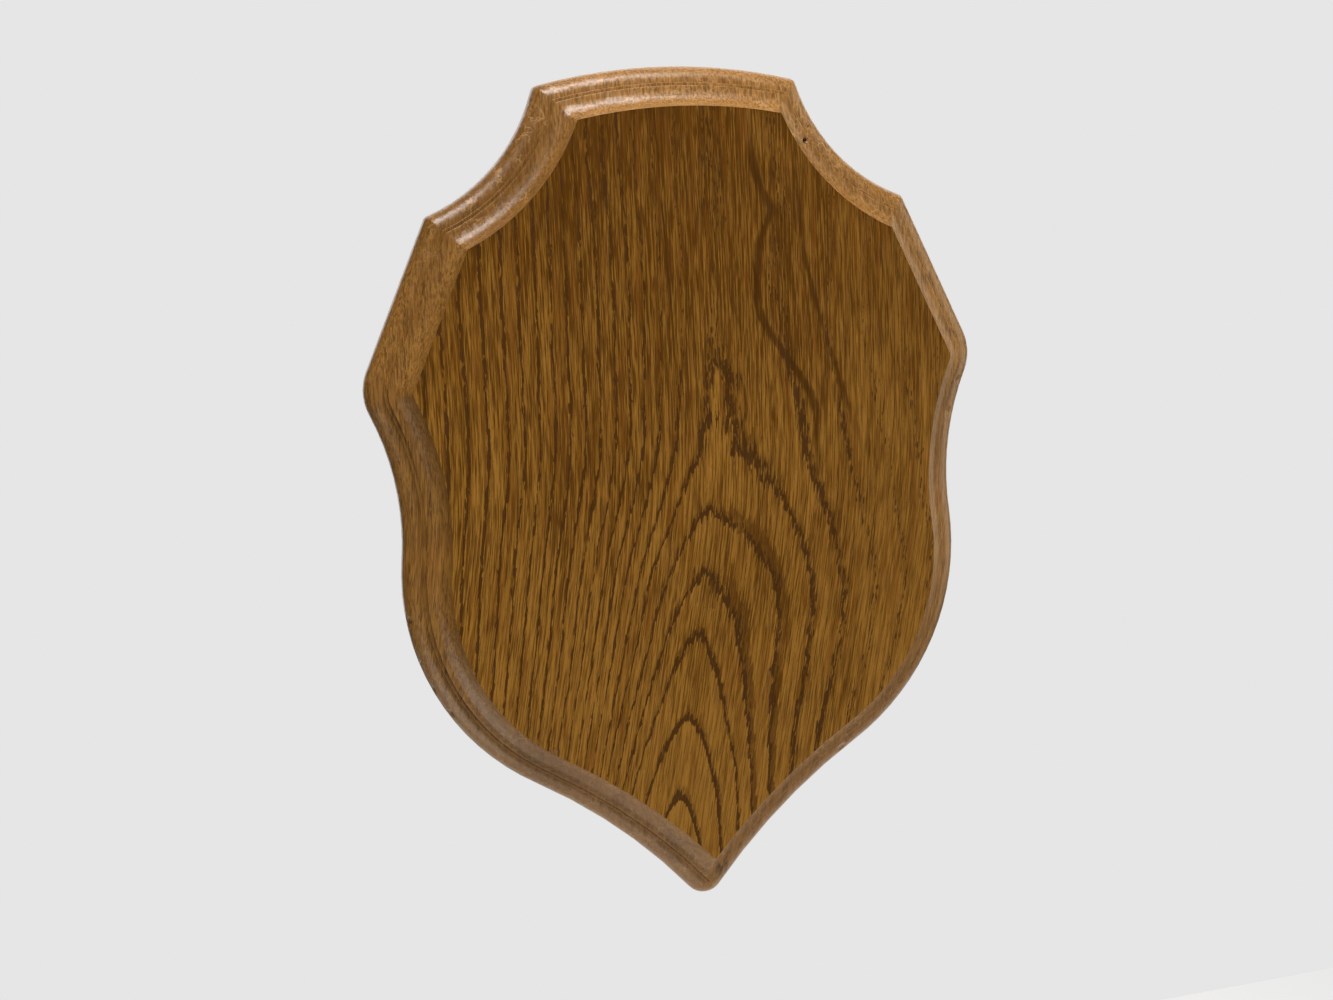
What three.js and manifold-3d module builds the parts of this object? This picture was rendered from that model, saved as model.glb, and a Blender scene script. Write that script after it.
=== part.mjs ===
// Trophy mounting plaque: a shield-shaped oak board with a moulded front edge, hung by a keyhole slot
// in its back. Millimetres. +X is to the right of someone facing the plaque, +Z is up, the moulded
// face looks along -Y and the back lies in the plane Y = 0, with the origin at its centre.

import * as THREE from 'three';
import { mergeVertices } from 'three/addons/utils/BufferGeometryUtils.js';
import Module from 'manifold-3d';

const wasm = await Module();
wasm.setup();

// The board
const boardHeight = 230;
const boardWidth = 171;

// The outline, from the crest down to the tip
const crestRadius = 154;
const crestWidth = 71.9;
const shoulderRadius = 49.1;
const earInset = 19.2;
const earDrop = 36.4;
const cornerRadius = 2;
const cheekRadius = 14;
const cheekDrop = 81.1;
const waistInset = 7.4;
const waistRadius = 74.5;
const bellySwell = 1.1;
const bellyRadius = 66.6;
const runRadius = 168.5;
const tipRadius = 5.7;

// The edge, from the back up its side and in over the moulding to the flat face
const backEase = 0.5;
const sideHeight = 2.4;
const ovoloRadius = 4.6;
const stepRise = 1.3;
const stepTread = 0.9;
const coveRadius = 5.7;
const faceLip = 0.7;

// The keyhole slot in the back
const screwHeadWidth = 10;
const screwNeckWidth = 5.2;
const slotLip = 3.6;
const slotDepth = 8.2;
const slotTravel = 13;
const hangingDrop = 45;

// How finely the round stretches are cut
const crestSteps = 8;
const shoulderSteps = 12;
const cornerSteps = 3;
const cheekSteps = 7;
const waistSteps = 9;
const bellySteps = 16;
const runSteps = 5;
const tipSteps = 4;
const mouldingSteps = 6;
const slotSteps = 12;
const overrun = 1;
const weldDistance = 0.0001;

const oak = new THREE.MeshStandardMaterial({ name: 'oak', color: '#74501f', roughness: 0.45, metalness: 0 });

const boardThickness = sideHeight + ovoloRadius + 2 * stepRise + coveRadius + faceLip;
const halfWidth = boardWidth / 2;
const crestLevel = boardHeight / 2;
const tipLevel = -boardHeight / 2;

// Where two circles cross; side is +1 for the crossing left of the line from one centre to the other
function crossing(centreA, radiusA, centreB, radiusB, side) {
  const span = centreB.clone().sub(centreA);
  const length = span.length();
  const along = (radiusA ** 2 - radiusB ** 2 + length ** 2) / (2 * length);
  const across = Math.sqrt(Math.max(radiusA ** 2 - along ** 2, 0));
  span.normalize();
  const left = new THREE.Vector2(-span.y, span.x);
  return centreA.clone().addScaledVector(span, along).addScaledVector(left, side * across);
}

function bearing(from, to) {
  return Math.atan2(to.y - from.y, to.x - from.x);
}

// Points along a round stretch, taken the short way from one angle to the other
function roundStretch(centre, radius, startAngle, endAngle, steps) {
  const turn = Math.atan2(Math.sin(endAngle - startAngle), Math.cos(endAngle - startAngle));
  const clockwise = turn < 0;
  const curve = new THREE.EllipseCurve(
    centre.x, centre.y, radius, radius, startAngle, startAngle + turn, clockwise);
  return curve.getPoints(steps);
}

// The right half of the outline is a chain of stretches that bulge out (crest, belly), hollow in
// (shoulder, waist, run) or run straight (edge), joined by rounded corners (horn, ear, cheek, tip)
const crestCentre = new THREE.Vector2(0, crestLevel - crestRadius);
const hornAngle = Math.acos(crestWidth / 2 / crestRadius);
const horn = new THREE.Vector2(
  crestWidth / 2, crestCentre.y + crestRadius * Math.sin(hornAngle));
const ear = new THREE.Vector2(halfWidth - earInset, crestLevel - earDrop);
const shoulderCentre = crossing(horn, shoulderRadius, ear, shoulderRadius, 1);

const cheekCentre = new THREE.Vector2(halfWidth - cheekRadius, crestLevel - cheekDrop);
const earSpan = ear.distanceTo(cheekCentre);
const edgeAngle = bearing(cheekCentre, ear) - Math.acos(cheekRadius / earSpan);
const edgeNormal = new THREE.Vector2(Math.cos(edgeAngle), Math.sin(edgeAngle));

const waistX = halfWidth - waistInset + waistRadius;
const waistCentre = new THREE.Vector2(
  waistX,
  cheekCentre.y - Math.sqrt((cheekRadius + waistRadius) ** 2 - (waistX - cheekCentre.x) ** 2));

const bellyX = halfWidth - waistInset + bellySwell - bellyRadius;
const bellyCentre = new THREE.Vector2(
  bellyX,
  waistCentre.y - Math.sqrt((waistRadius + bellyRadius) ** 2 - (waistX - bellyX) ** 2));

const tipCentre = new THREE.Vector2(0, tipLevel + tipRadius);
const runCentre = crossing(tipCentre, runRadius + tipRadius, bellyCentre, runRadius + bellyRadius, -1);

// Where the straight edge, set in from the side by a distance, crosses a circle next to a corner
function edgeCrossing(inset, centre, radius, towards) {
  const onEdge = ear.clone().addScaledVector(edgeNormal, -inset);
  const direction = new THREE.Vector2(edgeNormal.y, -edgeNormal.x).multiplyScalar(towards);
  const offset = onEdge.clone().sub(centre);
  const nearest = -offset.dot(direction);
  const clearance = offset.addScaledVector(direction, nearest).length();
  const reach = Math.sqrt(Math.max(radius ** 2 - clearance ** 2, 0));
  return onEdge.addScaledVector(direction, nearest - reach);
}

// The outline set in from the side by a distance. Each round stretch keeps its centre. A rounded
// corner closes to a sharp mitre once the distance has used up its radius.
function outlineSetIn(distance) {
  const hornInset = Math.max(distance, cornerRadius);
  const hornCentre = crossing(
    crestCentre, crestRadius - hornInset, shoulderCentre, shoulderRadius + hornInset, 1);
  const earCentre = edgeCrossing(hornInset, shoulderCentre, shoulderRadius + hornInset, -1);
  const corner = Math.max(cornerRadius - distance, 0);

  const cheekInset = Math.max(distance, cheekRadius);
  const cheekTurn = edgeCrossing(cheekInset, waistCentre, waistRadius + cheekInset, 1);
  const cheek = Math.max(cheekRadius - distance, 0);

  const tipInset = Math.max(distance, tipRadius);
  const tipReach = runRadius + tipInset;
  const tipTurn = new THREE.Vector2(
    0, runCentre.y + Math.sqrt(tipReach ** 2 - runCentre.x ** 2));
  const tip = Math.max(tipRadius - distance, 0);

  const crestEnd = bearing(crestCentre, hornCentre);
  const shoulderStart = bearing(shoulderCentre, hornCentre);
  const shoulderEnd = bearing(shoulderCentre, earCentre);
  const waistStart = bearing(waistCentre, cheekTurn);
  const waistEnd = bearing(waistCentre, bellyCentre);
  const bellyEnd = bearing(bellyCentre, runCentre);
  const runEnd = bearing(runCentre, tipTurn);
  const down = -Math.PI / 2;

  // A point that two stretches share is taken from one of them
  const half = [
    ...roundStretch(crestCentre, crestRadius - distance, -down, crestEnd, crestSteps).slice(0, -1),
    ...roundStretch(hornCentre, corner, crestEnd, shoulderStart + Math.PI, cornerSteps),
    ...roundStretch(
      shoulderCentre, shoulderRadius + distance, shoulderStart, shoulderEnd, shoulderSteps).slice(1, -1),
    ...roundStretch(earCentre, corner, shoulderEnd + Math.PI, edgeAngle, cornerSteps),
    ...roundStretch(cheekTurn, cheek, edgeAngle, waistStart + Math.PI, cheekSteps),
    ...roundStretch(waistCentre, waistRadius + distance, waistStart, waistEnd, waistSteps).slice(1),
    ...roundStretch(
      bellyCentre, bellyRadius - distance, waistEnd + Math.PI, bellyEnd, bellySteps).slice(1),
    ...roundStretch(runCentre, runRadius + distance, bellyEnd + Math.PI, runEnd, runSteps).slice(1, -1),
    ...roundStretch(tipTurn, tip, runEnd + Math.PI, down, tipSteps),
  ];
  const otherHalf = half.slice(1, -1).reverse().map((point) => new THREE.Vector2(-point.x, point.y));
  return [...half, ...otherHalf];
}

// The section of the edge: x is the distance in from the side, y the height above the back
function mouldingSection() {
  const section = new THREE.Path();
  section.moveTo(backEase, 0);
  section.lineTo(0, backEase);
  section.absarc(ovoloRadius, sideHeight, ovoloRadius, Math.PI, Math.PI / 2, true);
  const treadHeight = sideHeight + ovoloRadius + stepRise;
  section.lineTo(ovoloRadius, treadHeight);
  section.lineTo(ovoloRadius + stepTread, treadHeight);
  const coveHeight = treadHeight + stepRise + coveRadius;
  section.absarc(ovoloRadius + stepTread, coveHeight, coveRadius, -Math.PI / 2, 0, false);
  section.lineTo(ovoloRadius + stepTread + coveRadius, boardThickness);
  return section.getPoints(mouldingSteps / 2);
}

// A closed solid from a surface's triangles, with the points that coincide made one
function solidFrom(geometry) {
  const bare = geometry.index ? geometry.toNonIndexed() : geometry.clone();
  bare.deleteAttribute('normal');
  bare.deleteAttribute('uv');
  const merged = mergeVertices(bare, weldDistance);
  const corners = merged.index.array;
  const triangles = [];
  for (let i = 0; i < corners.length; i += 3) {
    const [a, b, c] = corners.slice(i, i + 3);
    if (a !== b && b !== c && c !== a) {
      triangles.push(a, b, c);
    }
  }
  return new wasm.Manifold(new wasm.Mesh({
    numProp: 3,
    vertProperties: Float32Array.from(merged.getAttribute('position').array),
    triVerts: Uint32Array.from(triangles),
  }));
}

// The moulded board: the outline is set in step by step up the section, and the rings are joined
function mouldedBoard() {
  const rings = mouldingSection().map(({ x, y }) =>
    outlineSetIn(x).map((point) => new THREE.Vector3(point.x, point.y, y)));
  const triangles = [];
  for (let level = 0; level + 1 < rings.length; level += 1) {
    const lower = rings[level];
    const upper = rings[level + 1];
    lower.forEach((point, i) => {
      const next = (i + 1) % lower.length;
      triangles.push(point, upper[i], lower[next]);
      triangles.push(upper[i], upper[next], lower[next]);
    });
  }
  closeWith(triangles, rings.at(0), true);
  closeWith(triangles, rings.at(-1), false);
  return solidFrom(new THREE.BufferGeometry().setFromPoints(triangles));
}

// Fills a ring with flat triangles, seen from the front or, turned over, from the back
function closeWith(triangles, ring, turnedOver) {
  const rim = ring.filter((point, i) => point.distanceTo(ring.at(i - 1)) > weldDistance);
  for (const [a, b, c] of THREE.ShapeUtils.triangulateShape(rim, [])) {
    const facing = turnedOver ? [rim[a], rim[c], rim[b]] : [rim[a], rim[b], rim[c]];
    triangles.push(...facing);
  }
}

// A round-ended slot from the entry hole up to where the screw hangs
function slotCutter(width, from, to) {
  const radius = width / 2;
  const hangingLevel = crestLevel - hangingDrop;
  const shape = new THREE.Shape();
  shape.absarc(0, hangingLevel, radius, 0, Math.PI, false);
  shape.absarc(0, hangingLevel - slotTravel, radius, Math.PI, 2 * Math.PI, false);
  const geometry = new THREE.ExtrudeGeometry(shape, {
    depth: to - from,
    bevelEnabled: false,
    curveSegments: slotSteps / 2,
  });
  return solidFrom(geometry.translate(0, 0, from));
}

function entryCutter() {
  const radius = screwHeadWidth / 2;
  const height = slotDepth + overrun;
  const geometry = new THREE.CylinderGeometry(radius, radius, height, 2 * slotSteps);
  geometry.rotateX(Math.PI / 2);
  geometry.translate(0, crestLevel - hangingDrop - slotTravel, height / 2 - overrun);
  return solidFrom(geometry);
}

function keyhole() {
  return slotCutter(screwNeckWidth, -overrun, slotLip + overrun)
    .add(slotCutter(screwHeadWidth, slotLip, slotDepth))
    .add(entryCutter());
}

function geometryOf(solid) {
  const { vertProperties, triVerts } = solid.getMesh();
  const geometry = new THREE.BufferGeometry();
  geometry.setAttribute('position', new THREE.BufferAttribute(vertProperties, 3));
  geometry.setIndex(new THREE.BufferAttribute(triVerts, 1));
  geometry.computeVertexNormals();
  return geometry;
}

// The board is drawn with its back flat and its height along y, then stood upright
const plaque = new THREE.Mesh(geometryOf(mouldedBoard().subtract(keyhole())), oak);
plaque.name = 'plaque';
plaque.rotation.x = Math.PI / 2;

const trophyPlaque = new THREE.Group();
trophyPlaque.name = 'trophy_mounting_plaque';
trophyPlaque.add(plaque);

export default trophyPlaque;
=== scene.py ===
import math

import bmesh
import bpy
from mathutils import Matrix, Vector, noise


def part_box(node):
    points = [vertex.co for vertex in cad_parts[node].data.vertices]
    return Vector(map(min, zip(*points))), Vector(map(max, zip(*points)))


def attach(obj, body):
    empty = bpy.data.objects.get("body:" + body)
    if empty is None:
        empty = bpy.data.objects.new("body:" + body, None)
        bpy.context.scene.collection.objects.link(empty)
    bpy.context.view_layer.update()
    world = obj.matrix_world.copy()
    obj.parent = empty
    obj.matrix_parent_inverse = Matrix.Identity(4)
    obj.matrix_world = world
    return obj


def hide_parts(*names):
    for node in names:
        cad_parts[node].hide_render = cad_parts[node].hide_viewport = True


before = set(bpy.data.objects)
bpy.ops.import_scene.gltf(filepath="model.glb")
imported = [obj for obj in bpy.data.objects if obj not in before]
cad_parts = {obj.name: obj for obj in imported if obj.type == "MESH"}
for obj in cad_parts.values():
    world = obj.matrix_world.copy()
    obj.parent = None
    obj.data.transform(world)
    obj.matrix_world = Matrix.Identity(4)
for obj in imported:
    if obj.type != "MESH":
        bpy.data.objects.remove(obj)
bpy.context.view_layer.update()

mm = 0.001

# The camera stands to the left of the plaque and a little above its middle, turned slightly on its
# own axis, about half a metre away. It looks past the board to plain pale paper.
camera_azimuth = math.radians(15.556)
camera_elevation = math.radians(9.186)
camera_roll = math.radians(-2.835)
camera_place = Vector((-131.92, -457.08, 75.16)) * mm
sensor_width = 36.0
lens_length = 46.94
near_clip = 0.01

camera = bpy.data.cameras.new("camera")
camera.sensor_width = sensor_width
camera.lens = lens_length
camera.clip_start = near_clip
camera_object = bpy.data.objects.new("camera", camera)
camera_object.matrix_world = (
    Matrix.Translation(camera_place)
    @ Matrix.Rotation(-camera_azimuth, 4, "Z")
    @ Matrix.Rotation(math.pi / 2 - camera_elevation, 4, "X")
    @ Matrix.Rotation(camera_roll, 4, "Z")
)
bpy.context.scene.collection.objects.link(camera_object)
bpy.context.scene.camera = camera_object

# The board is one piece of plain-sawn oak. Its growth rings lie round a pith in front of the face,
# nearly upright, so they cross the face as arches and run straight beside them. Lengths here are in
# millimetres, and each step takes plain numbers for the mesh or shader values for the finish.
arch_middle = 3.7
arch_lean = 0.162
lean_reach = 56.0
arch_slope = 7.47
arch_foot = 90.0
arch_point = 3.0
straight_height = 20.0
right_spread = 0.4
knee_width = 2.0
knee_growth = 0.255
knee_level = 19.3
knee_share = 0.75
pith_distance = 20.0
face_depth = 16.0
slow_turn = 10.0
quick_turn = 1.0
ring_radii = (
    0.0, 9.2, 16.0, 20.5, 23.3, 26.1, 28.8, 31.1, 33.8, 36.4, 39.0, 41.7, 44.6, 47.6, 50.7,
    54.0, 57.4, 61.2, 64.9, 69.7, 74.4, 79.0, 84.0, 89.0, 94.0, 99.0, 104.0, 109.0, 115.0,
)


class Thread:
    """A shader value: + - * / ** and the named steps on it add Math nodes to its material."""

    def __init__(self, tree, socket=None):
        self.tree = tree
        self.socket = socket

    def node(self, kind, settings, sockets, output=0):
        made = self.tree.nodes.new(kind)
        for name, value in settings.items():
            if name == "stops":
                ramp = made.color_ramp
                ramp.elements.remove(ramp.elements[1])
                ramp.elements[0].position, ramp.elements[0].color = value[0]
                for position, colour in value[1:]:
                    ramp.elements.new(position).color = colour
            else:
                setattr(made, name, value)
        for name, value in sockets.items():
            if isinstance(value, Thread):
                self.tree.links.new(value.socket, made.inputs[name])
            else:
                made.inputs[name].default_value = value
        return Thread(self.tree, made.outputs[output] if made.outputs else None)

    def math(self, operation, *values):
        return self.node("ShaderNodeMath", {"operation": operation}, dict(enumerate(values)))

    def __add__(self, other):
        return self.math("ADD", self, other)

    def __radd__(self, other):
        return self.math("ADD", other, self)

    def __sub__(self, other):
        return self.math("SUBTRACT", self, other)

    def __rsub__(self, other):
        return self.math("SUBTRACT", other, self)

    def __mul__(self, other):
        return self.math("MULTIPLY", self, other)

    def __rmul__(self, other):
        return self.math("MULTIPLY", other, self)

    def __truediv__(self, other):
        return self.math("DIVIDE", self, other)

    def __pow__(self, other):
        return self.math("POWER", self, other)

    def ramp(self, start, end, low=0.0, high=1.0):
        """low before start, high after end, and a smooth rise between them"""
        settings = {"interpolation_type": "SMOOTHSTEP"}
        sockets = {0: self, 1: start, 2: end, 3: low, 4: high}
        return self.node("ShaderNodeMapRange", settings, sockets)

    def mix(self, colour, other):
        """the first colour where this value is 0 and the other where it is 1"""
        settings = {"data_type": "RGBA", "clamp_factor": True}
        return self.node("ShaderNodeMix", settings, {0: self, 6: colour, 7: other}, output=2)


def sine(value):
    return value.math("SINE", value) if isinstance(value, Thread) else math.sin(value)


def tanh(value):
    return value.math("TANH", value) if isinstance(value, Thread) else math.tanh(value)


def larger(value, other):
    return value.math("MAXIMUM", value, other) if isinstance(value, Thread) else max(value, other)


def softly_above(value, level, softness):
    """How far a value is above a level, and nearly 0 below it"""
    above = value - level
    return 0.5 * (above + (above ** 2 + softness ** 2) ** 0.5)


def distance_from_pith(x, y, z):
    """How far a point of the wood is from the pith. The rings stand wider apart on the right."""
    upper = softly_above(z, 0.0, slow_turn)
    height = z - upper + straight_height * tanh(upper / straight_height)
    lean = arch_lean * (1 + (x / lean_reach) ** 2) ** -1
    across = x - arch_middle - lean * height
    right = softly_above(across, 0.0, quick_turn)
    knee = knee_width + knee_growth * softly_above(-1 * z, knee_level, slow_turn)
    spread = right - across + right_spread * right + knee_share * knee * tanh(right / knee)
    behind = y + face_depth
    square = (
        spread ** 2 + 2 * arch_point * spread
        + arch_slope * (height + arch_foot) + pith_distance
        + behind ** 2 + 2 * pith_distance * behind
    )
    upright_wave = 0.2 * sine(z / 9.0 + x / 31.0 + 1.3)
    level_wave = 0.15 * sine(x / 5.3 - z / 23.0 + 0.4)
    return larger(square, 0.5) ** 0.5 + (upright_wave + level_wave)


# The board is sawn to its outline and the moulding is cut round its front edge. The solid's shape
# is kept: the three arrises of the moulding are worn round, and the front is sliced along and
# across the grain, finely enough to carry the furrows of the open grain.
weld_gap = 0.002 * mm
cut_gap = 0.004 * mm
level_gap = 0.01 * mm
face_on = 0.999
flush_angle = math.radians(12)
arris_angle = math.radians(28)
wear = 0.32 * mm
wear_steps = 3
side_level = -2.0 * mm
slice_across = 0.62 * mm
slice_along = 1.7 * mm

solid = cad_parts["plaque"]
low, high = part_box("plaque")
board = bmesh.new()
board.from_mesh(solid.data)
bmesh.ops.remove_doubles(board, verts=board.verts, dist=weld_gap)

flat = [
    f for f in board.faces
    if f.normal.y < -face_on and f.calc_center_median().y < low.y + level_gap
]
bmesh.ops.dissolve_faces(board, faces=flat)
moulding = [
    f for f in board.faces
    if len(f.verts) == 3 and f.calc_center_median().y < -level_gap
]
bmesh.ops.join_triangles(
    board, faces=moulding, angle_face_threshold=flush_angle, angle_shape_threshold=math.pi
)

arrises = [
    e for e in board.edges
    if e.calc_face_angle_signed() > arris_angle
    and abs(e.verts[0].co.y - e.verts[1].co.y) < level_gap
    and e.verts[0].co.y < 2 * side_level
]
bmesh.ops.bevel(
    board, geom=arrises, offset=wear, offset_type="OFFSET", segments=wear_steps, profile=0.5,
    affect="EDGES", material=-1, clamp_overlap=True, miter_outer="SHARP", miter_inner="SHARP"
)

# Every face that can be reached from the flat one without crossing the board's side
face = min(board.faces, key=lambda f: f.calc_center_median().y + f.normal.y)
front = {face}
edge_of_front = [face]
while edge_of_front:
    for e in edge_of_front.pop().edges:
        for neighbour in e.link_faces:
            if neighbour not in front and neighbour.calc_center_median().y < side_level:
                front.add(neighbour)
                edge_of_front.append(neighbour)


def sliced(geometry, place, step, direction, end):
    """The geometry after it is cut at every step by planes that look along the direction"""
    while place < end:
        cut = bmesh.ops.bisect_plane(
            board, geom=geometry, dist=cut_gap, plane_co=direction * place, plane_no=direction
        )
        geometry = cut["geom"]
        place += step
    return geometry


geometry = list({v for f in front for v in f.verts} | {e for f in front for e in f.edges} | front)
geometry = sliced(geometry, low.x + slice_across / 2, slice_across, Vector((1, 0, 0)), high.x)
geometry = sliced(geometry, low.z + slice_along / 2, slice_along, Vector((0, 0, 1)), high.z)

# The open grain leaves a shallow furrow where each year's coarse early wood meets the surface,
# deeper in some places than in others. The moulding is sanded nearly smooth, and nothing stands
# proud of the solid.
furrow_depth = 0.11
flutter_depth = 0.05
early_share = 0.3
facing_front = 0.98
moulding_share = 0.04


def ripple(x, y, z, thread, length):
    """Smooth noise from about -1 to 1 in threads of that width and length, in millimetres"""
    return noise.noise((x / thread, y / thread, z / length))


board.normal_update()
for v in {v for f in geometry if isinstance(f, bmesh.types.BMFace) for v in f.verts}:
    x, y, z = v.co / mm
    on_face = v.normal.y < -facing_front and y < 0.1 - face_depth
    radius = distance_from_pith(x, y, z)
    ring = max(i for i, r in enumerate(ring_radii) if r <= radius)
    share = (radius - ring_radii[ring]) / (ring_radii[ring + 1] - ring_radii[ring])
    early = max(0.0, 1 - share / early_share)
    open_pores = max(0.5 + ripple(x, y, z, 0.8, 4.0), 0.0)
    flutter = 0.5 + 0.5 * ripple(x, y, z, 2.0, 7.0)
    depth = furrow_depth * early * open_pores + flutter_depth * flutter
    v.co -= v.normal * (1.0 if on_face else moulding_share) * depth * mm

# Knocks and small pits from use and handling: the place of each on the board, how far it reaches
# round there, and how deep it is. The largest are the nicks on the edge of the left hip.
dents = (
    ((36.1, -9.8, 94.0), 0.9, 0.7), ((38.3, -6.8, 97.7), 0.8, 0.4),
    ((27.8, -13.2, 101.5), 1.6, 0.4), ((84.1, -5.5, 35.7), 1.7, 0.35),
    ((81.0, -6.3, 26.0), 1.6, 0.4), ((77.6, -6.6, 17.2), 1.8, 0.4),
    ((-78.4, -4.1, -26.9), 1.8, 0.8), ((-76.4, -2.9, -37.7), 1.6, 0.7),
    ((-73.1, -3.2, -46.1), 1.6, 0.7), ((-69.1, -4.6, -53.2), 1.6, 0.6),
    ((42.3, -6.1, -77.0), 1.9, 0.55), ((-43.6, -16.0, -64.4), 1.7, 0.35),
    ((-47.8, -16.0, -61.2), 1.0, 0.25), ((2.7, -16.0, -29.7), 0.75, 0.35),
    ((-2.0, -16.0, -28.1), 0.6, 0.25),
)
dent_margin = 1.3
grit = 0.5 * mm

for middle, reach, depth in dents:
    middle = Vector(middle) * mm
    near = [
        e for e in board.edges
        if ((e.verts[0].co + e.verts[1].co) / 2 - middle).length < dent_margin * reach * mm
    ]
    bmesh.ops.subdivide_edges(board, edges=near, cuts=2, use_grid_fill=True)
    board.normal_update()
    for v in board.verts:
        share = (v.co - middle).length / (reach * mm)
        if share < 1:
            rough = 1 + 0.5 * noise.noise(v.co / grit)
            v.co -= v.normal * depth * rough * (1 - share ** 2) ** 2 * mm

# Corners stay sharp to the eye, worn arrises and curves do not, and the back is flat. The board is
# one piece, fixed to nothing.
corner_angle = math.radians(52)
facing_wall = 0.99

bmesh.ops.triangulate(board, faces=board.faces)
board.normal_update()
for f in board.faces:
    f.smooth = f.normal.y < facing_wall
for e in board.edges:
    e.smooth = e.calc_face_angle() < corner_angle
mesh = bpy.data.meshes.new("oak_board")
board.to_mesh(mesh)
board.free()

oak_board = bpy.data.objects.new("oak_board", mesh)
bpy.context.scene.collection.objects.link(oak_board)
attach(oak_board, "root")
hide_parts("plaque")

# Oak stained golden brown under a thin satin varnish. The open pores hold the most stain, so each
# year's early wood shows as a dark broken line, and the dense late wood stays golden. The moulding
# is sanded thinner than the face, the back is dull, and the slot was cut last and is bare.
late_gold = (0.246, 0.116, 0.0180, 1)
late_brown = (0.066, 0.0240, 0.0012, 1)
early_brown = (0.062, 0.0225, 0.0010, 1)
pore_dark = (0.043, 0.0155, 0.0007, 1)
red_brown = (0.120, 0.042, 0.004, 1)
# The tan of the sanded moulding, also used for painted light on the crest
sanded_and_lit_tan = (0.308, 0.153, 0.042, 1)
pale_line = (0.450, 0.270, 0.120, 1)
dull_brown = (0.210, 0.115, 0.045, 1)
bare_oak = (0.300, 0.185, 0.085, 1)
fibre_lean = 0.2
pore_blur = 0.06

oak = bpy.data.materials.new("stained_oak")
oak.use_nodes = True
oak.node_tree.nodes.clear()
wood = Thread(oak.node_tree)
place = wood.node(
    "ShaderNodeVectorMath", {"operation": "SCALE"},
    {0: wood.node("ShaderNodeTexCoord", {}, {}, output=3), "Scale": 1 / mm}
)
x, y, z = (wood.node("ShaderNodeSeparateXYZ", {}, {0: place}, output=i) for i in range(3))
fibre = x - fibre_lean * (z - softly_above(z, 0.0, 20.0))


def along_grain(width, length):
    """The place in the wood measured in threads of that width and length, in millimetres"""
    sockets = {0: fibre / width, 1: y / width, 2: z / length}
    return wood.node("ShaderNodeCombineXYZ", {}, sockets)


def cloud(width, length, detail=2.0, roughness=0.5):
    """Soft noise from 0 to 1, stretched along the grain"""
    sockets = {"Vector": along_grain(width, length), "Scale": 1.0, "Detail": detail}
    return wood.node("ShaderNodeTexNoise", {}, {**sockets, "Roughness": roughness})


def pores(width, length, size):
    """1 inside scattered pores, each in its own cell of that width and length"""
    sockets = {"Vector": along_grain(width, length), "Scale": 1.0, "Randomness": 1.0}
    middle = wood.node("ShaderNodeTexVoronoi", {}, sockets)
    return (middle - size).ramp(pore_blur, -pore_blur)


# The age of the wood in years, which is whole at the start of each spring, and the part of its year
wobble = 0.9 * (cloud(12, 20, 1.0) - 0.5) + 1.5 * (cloud(0.7, 5.0, 2.0, 0.6) - 0.5)
radius = distance_from_pith(x, y, z) + wobble
rings = len(ring_radii)
stops = [(r / ring_radii[-1], (i / rings,) * 3 + (1,)) for i, r in enumerate(ring_radii)]
age = wood.node("ShaderNodeValToRGB", {"stops": stops}, {0: radius / ring_radii[-1]}) * rings
share = age.math("FRACT", age)

# Where things are on the board. Each ramp of x, y or z runs between two places in millimetres.
back = y.ramp(-1.2, -0.3)
moulded = y.ramp(-15.95, -15.5) * (1 - back)
upper_middle = z.ramp(15.0, 50.0) * x.ramp(-22.0, -8.0)
crisp = x.ramp(25.0, 60.0, 1.0, 0.75)
end_grain = moulded * larger(z.ramp(55.0, 85.0), z.ramp(-40.0, -65.0))

# The early wood of each year: its brown band, its row of large pores and its dark edge. The lines
# fade towards the far right, and two years right of the middle have a heavy band.
patchy = cloud(16, 28, 1.0).ramp(0.25, 0.5, 0.6, 1.0)
strength = x.ramp(55.0, 25.0, 0.4, 1.0) * (1 - 0.55 * upper_middle) * patchy
heavy = radius.ramp(22.5, 23.5) * radius.ramp(29.0, 28.5) * x.ramp(4.0, 12.0)
band = share.ramp(0.0, 0.03) * (share - 0.14 * heavy).ramp(0.28, 0.20) * strength
band = band * x.ramp(-30.0, -5.0, 0.3, 1.0)
row = share.ramp(0.0, 0.03) * share.ramp(0.24, 0.10) * strength * (1 - 0.6 * moulded)
edge = share.ramp(0.0, 0.02) * share.ramp(0.11, 0.04) * strength * (1 - 0.5 * moulded)
coarse = pores(0.6, 3.0, 0.05 + 0.80 * row)
fine = pores(0.3, 2.4, 0.19 + 0.22 * band)

# The late wood: golden and brown fibres, darker towards the crest and with a few redder streaks
bundle = cloud(0.36, 11, 2.5, 0.6).ramp(0.40, 0.60)
hair = cloud(0.17, 6, 1.0).ramp(0.36, 0.64)
broad = cloud(3.0, 60, 2.0)
patch = cloud(26, 40, 1.0)
fibres = crisp * (1 - 0.6 * end_grain) * (0.68 * bundle + 0.50 * hair - 0.59)
tone = fibres + 0.6 * broad + 0.7 * patch - 0.0033 * z - 0.17
tone = tone - z.ramp(50.0, 85.0) * (1 - moulded) * (0.10 + 0.12 * x.ramp(0.0, -20.0))
colour = tone.mix(late_brown, late_gold)
red_streaks = cloud(1.1, 24, 2.0).ramp(0.5, 0.68)
colour = (0.5 * red_streaks).mix(colour, red_brown)
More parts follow.
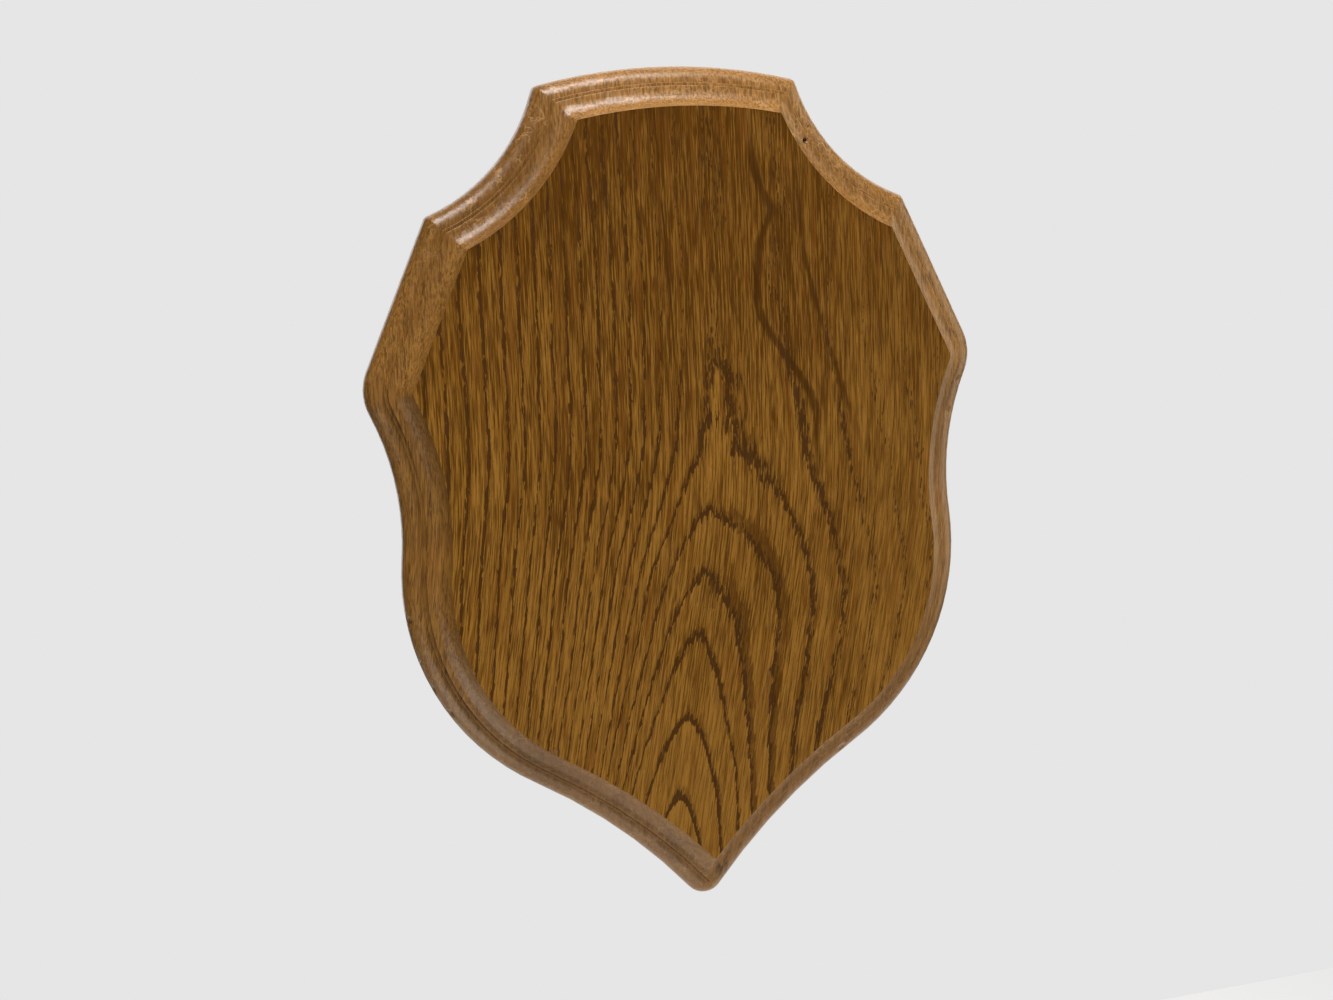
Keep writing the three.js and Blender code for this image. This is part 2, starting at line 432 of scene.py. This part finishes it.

# Sanding has taken stain from the moulding; less tan on its left side is painted shade
left_shaded_share = z.ramp(-10.0, 30.0, 0.25, 0.5) * z.ramp(60.0, 85.0, 1.0, 0.4)
# More tan on the crest is painted light, where the crest faces the light above
sanded_and_painted_light = moulded * x.ramp(-48.0, -20.0, left_shaded_share, 1.0) * z.ramp(98.0, 104.0, 1.0, 1.3)
sanding = cloud(0.5, 7.0, 2.0).ramp(0.3, 0.7, 0.15, 0.80)
colour = (sanded_and_painted_light * sanding).mix(colour, sanded_and_lit_tan)

# The stain lies over that: in the early wood's band, at its edge, and darkest in the open pores
colour = ((0.38 + 0.30 * heavy) * band * (1 - 0.5 * moulded)).mix(colour, early_brown)
colour = (0.28 * edge).mix(colour, pore_dark)
colour = (fine * (0.50 - 0.35 * end_grain)).mix(colour, early_brown)
colour = (coarse * (0.9 - 0.3 * moulded - 0.45 * end_grain)).mix(colour, pore_dark)

# The varnish has crazed over the end grain of the moulding: fine pale lines round cells of a few
# millimetres, which drift so that no two are alike
cell_scale = 0.24
drift_scale = 0.35
drift_reach = (5.0, 5.0, 5.0)
sockets = {"Vector": place, "Scale": drift_scale, "Detail": 2.0}
drift = wood.node("ShaderNodeTexNoise", {}, sockets, output=1)
sockets = {0: drift, 1: drift_reach, 2: place}
drift = wood.node("ShaderNodeVectorMath", {"operation": "MULTIPLY_ADD"}, sockets)
sockets = {"Vector": drift, "Scale": cell_scale}
crazing = wood.node("ShaderNodeTexVoronoi", {"feature": "DISTANCE_TO_EDGE"}, sockets)
crazing = crazing.ramp(0.045, 0.015) * cloud(7.0, 11.0, 1.0).ramp(0.45, 0.60) * end_grain
colour = (0.35 * crazing).mix(colour, pale_line)


def stripe(offset, wide, narrow):
    """1 where the offset is less than narrow on either side, and 0 where it is more than wide"""
    return offset.math("ABSOLUTE", offset).ramp(wide, narrow)


def blot(across, up, width, height):
    """1 inside an upright oval of that width and height, in millimetres"""
    return (((x - across) / width) ** 2 + ((z - up) / height) ** 2).ramp(0.25, 0.08)


# Two year lines wander past an old knot below the right shoulder, a thin one runs down from the
# crest, stain has gathered on the right of the tip and in a knot on the upper left; the pit is dark
crooked = x + 1.6 * wobble
bulge = 18.3 + 4.6 * (1 + ((z - 76) / 10) ** 2) ** -2 + z.ramp(54.0, 20.0, 0.0, 16.0)
inner = stripe(crooked - bulge, 1.8, 0.5) * z.ramp(-10.0, 25.0) * z.ramp(97.0, 90.0)
outer = crooked - 30.5 - 0.25 * softly_above(-1 * z, -62.0, 8.0) - 0.05 * (88 - z)
outer = stripe(outer, 1.1, 0.2) * z.ramp(5.0, 30.0) * z.ramp(96.0, 80.0)
thin = stripe(x + 0.5 * wobble + 7.4 - 0.04 * (103 - z), 0.42, 0.12)
thin = thin * z.ramp(30.0, 50.0) * cloud(3, 12, 1.0).ramp(0.3, 0.5)
wandering = larger(larger(0.90 * inner, 0.75 * outer), 0.9 * thin) * (1 - moulded)
colour = (wandering * cloud(0.5, 6.0, 2.0).ramp(0.25, 0.6, 0.7, 1.0)).mix(colour, pore_dark)

tip_stain = blot(4.0, -107.0, 5.5, 9.0) * cloud(0.9, 3.0, 2.0).ramp(0.42, 0.58)
colour = (0.6 * moulded * tip_stain).mix(colour, pore_dark)
knot = larger(blot(-22.0, 84.0, 2.6, 9.0), blot(-24.5, 78.5, 2.0, 6.0))
knot = knot * cloud(0.6, 3.0, 2.0).ramp(0.3, 0.5)
colour = (0.75 * knot * (1 - moulded)).mix(colour, pore_dark)
pit = blot(36.1, 94.0, 1.5, 2.0)
colour = (0.95 * pit * moulded).mix(colour, pore_dark)

# The back is dull, and the walls and the floor of the keyhole slot in it are bare wood
slot_half_width = 6.0
slot_foot = 50.0
slot_top = 78.0
slot_floor = -9.5
slot = (x * x).ramp(slot_half_width ** 2, slot_half_width ** 2 - 3)
slot = slot * z.ramp(slot_foot, slot_foot + 1) * z.ramp(slot_top, slot_top - 1)
slot = slot * y.ramp(slot_floor, slot_floor + 0.5) * y.ramp(-0.05, -0.3)
colour = (back * cloud(0.8, 9.0, 2.0).ramp(0.3, 0.7, 0.45, 0.85)).mix(colour, dull_brown)
colour = (slot * cloud(0.5, 5.0, 2.0).ramp(0.3, 0.7, 0.6, 0.95)).mix(colour, bare_oak)

# The satin varnish is thickest on the moulding, and sinks a little where pores are open beneath it
relief_height = 0.1 * mm
relief_strength = 0.3
inner_shine = 0.14
thin_coat = 0.04
thick_coat = 0.46
coat_roughness = 0.36

relief = 0.4 * bundle + 0.2 * hair - 0.8 * coarse - 0.4 * fine - 0.3 * band
sockets = {"Strength": relief_strength, "Distance": relief_height}
bump = wood.node("ShaderNodeBump", {}, {**sockets, "Height": relief * (1 - 0.6 * moulded)})
gloss = cloud(1.4, 9.0, 2.0).ramp(0.3, 0.7, 0.29, 0.41) + 0.1 * coarse + 0.3 * larger(back, slot)
varnish = wood.node("ShaderNodeBsdfPrincipled", {}, {
    "Base Color": colour,
    "Roughness": gloss,
    "Normal": bump,
    "Specular IOR Level": inner_shine,
    "Coat Weight": thin_coat + thick_coat * moulded * (1 - slot),
    "Coat Roughness": coat_roughness,
})
wood.node("ShaderNodeOutputMaterial", {}, {0: varnish})
oak_board.data.materials.append(oak)

# The plaque hangs in the air over a plain pale floor. That is a wide opal sheet, matt on top and
# faintly lit from below.
floor_level = -1.0
floor_width = 3.0
floor_glow = 0.35
matt = 0.9

opal = bpy.data.materials.new("opal_sheet")
opal.use_nodes = True
opal_shader = opal.node_tree.nodes["Principled BSDF"]
opal_shader.inputs["Base Color"].default_value = (0.60, 0.60, 0.60, 1)
opal_shader.inputs["Roughness"].default_value = matt
opal_shader.inputs["Specular IOR Level"].default_value = 0.0
opal_shader.inputs["Emission Color"].default_value = (1.0, 1.0, 1.0, 1)
opal_shader.inputs["Emission Strength"].default_value = floor_glow

floor_shape = bmesh.new()
bmesh.ops.create_grid(floor_shape, x_segments=1, y_segments=1, size=floor_width / 2)
bmesh.ops.translate(floor_shape, verts=floor_shape.verts, vec=(0, 0, floor_level))
floor_mesh = bpy.data.meshes.new("floor")
floor_shape.to_mesh(floor_mesh)
floor_shape.free()
floor = bpy.data.objects.new("floor", floor_mesh)
floor.data.materials.append(opal)
bpy.context.scene.collection.objects.link(floor)


# Four soft lights: a narrow one high up for the bright line on the crest, a warm one at each side,
# and a wide one behind that lifts the back and the rims.
def softbox(name, direction, distance, width, height, power, colour):
    """A soft light of that width and height that looks at the middle of the plaque"""
    light = bpy.data.lights.new(name, "AREA")
    light.shape = "RECTANGLE"
    light.size = width
    light.size_y = height
    light.energy = power
    light.color = colour
    place = Vector(direction).normalized() * distance
    turn = place.to_track_quat("Z", "Y").to_matrix().to_4x4()
    lamp = bpy.data.objects.new(name, light)
    lamp.matrix_world = Matrix.Translation(place) @ turn
    lamp.visible_camera = False
    bpy.context.scene.collection.objects.link(lamp)


softbox(
    "key", direction=(-0.11, -0.42, 0.90), distance=1.0,
    width=0.68, height=0.35, power=18.0, colour=(1.0, 0.97, 0.95)
)
softbox(
    "right_fill", direction=(0.95, -0.30, 0.05), distance=1.3,
    width=1.2, height=1.2, power=9.5, colour=(1.0, 0.92, 0.74)
)
softbox(
    "left_fill", direction=(-0.45, -0.45, -0.75), distance=1.2,
    width=1.0, height=1.0, power=9.0, colour=(1.0, 0.94, 0.86)
)
softbox(
    "rear", direction=(0.25, 0.90, 0.35), distance=1.8,
    width=2.8, height=2.8, power=36.0, colour=(1.0, 1.0, 1.0)
)

# The room is dim around the lights, so that little of it shows in the varnish, and the paper behind
# the plaque shows pale.
room_grey = (0.8, 0.8, 0.8, 1)
room_strength = 0.11
paper_grey = (0.79, 0.79, 0.79, 1)
paper_strength = 1.0

world = bpy.data.worlds.new("studio")
world.use_nodes = True
world.node_tree.nodes.clear()
room = Thread(world.node_tree)
dim = room.node("ShaderNodeBackground", {}, {"Color": room_grey, "Strength": room_strength})
pale = room.node("ShaderNodeBackground", {}, {"Color": paper_grey, "Strength": paper_strength})
seen = room.node("ShaderNodeLightPath", {}, {})
backdrop = room.node("ShaderNodeMixShader", {}, {0: seen, 1: dim, 2: pale})
room.node("ShaderNodeOutputWorld", {}, {0: backdrop})
bpy.context.scene.world = world
bpy.context.scene.view_settings.view_transform = "Standard"
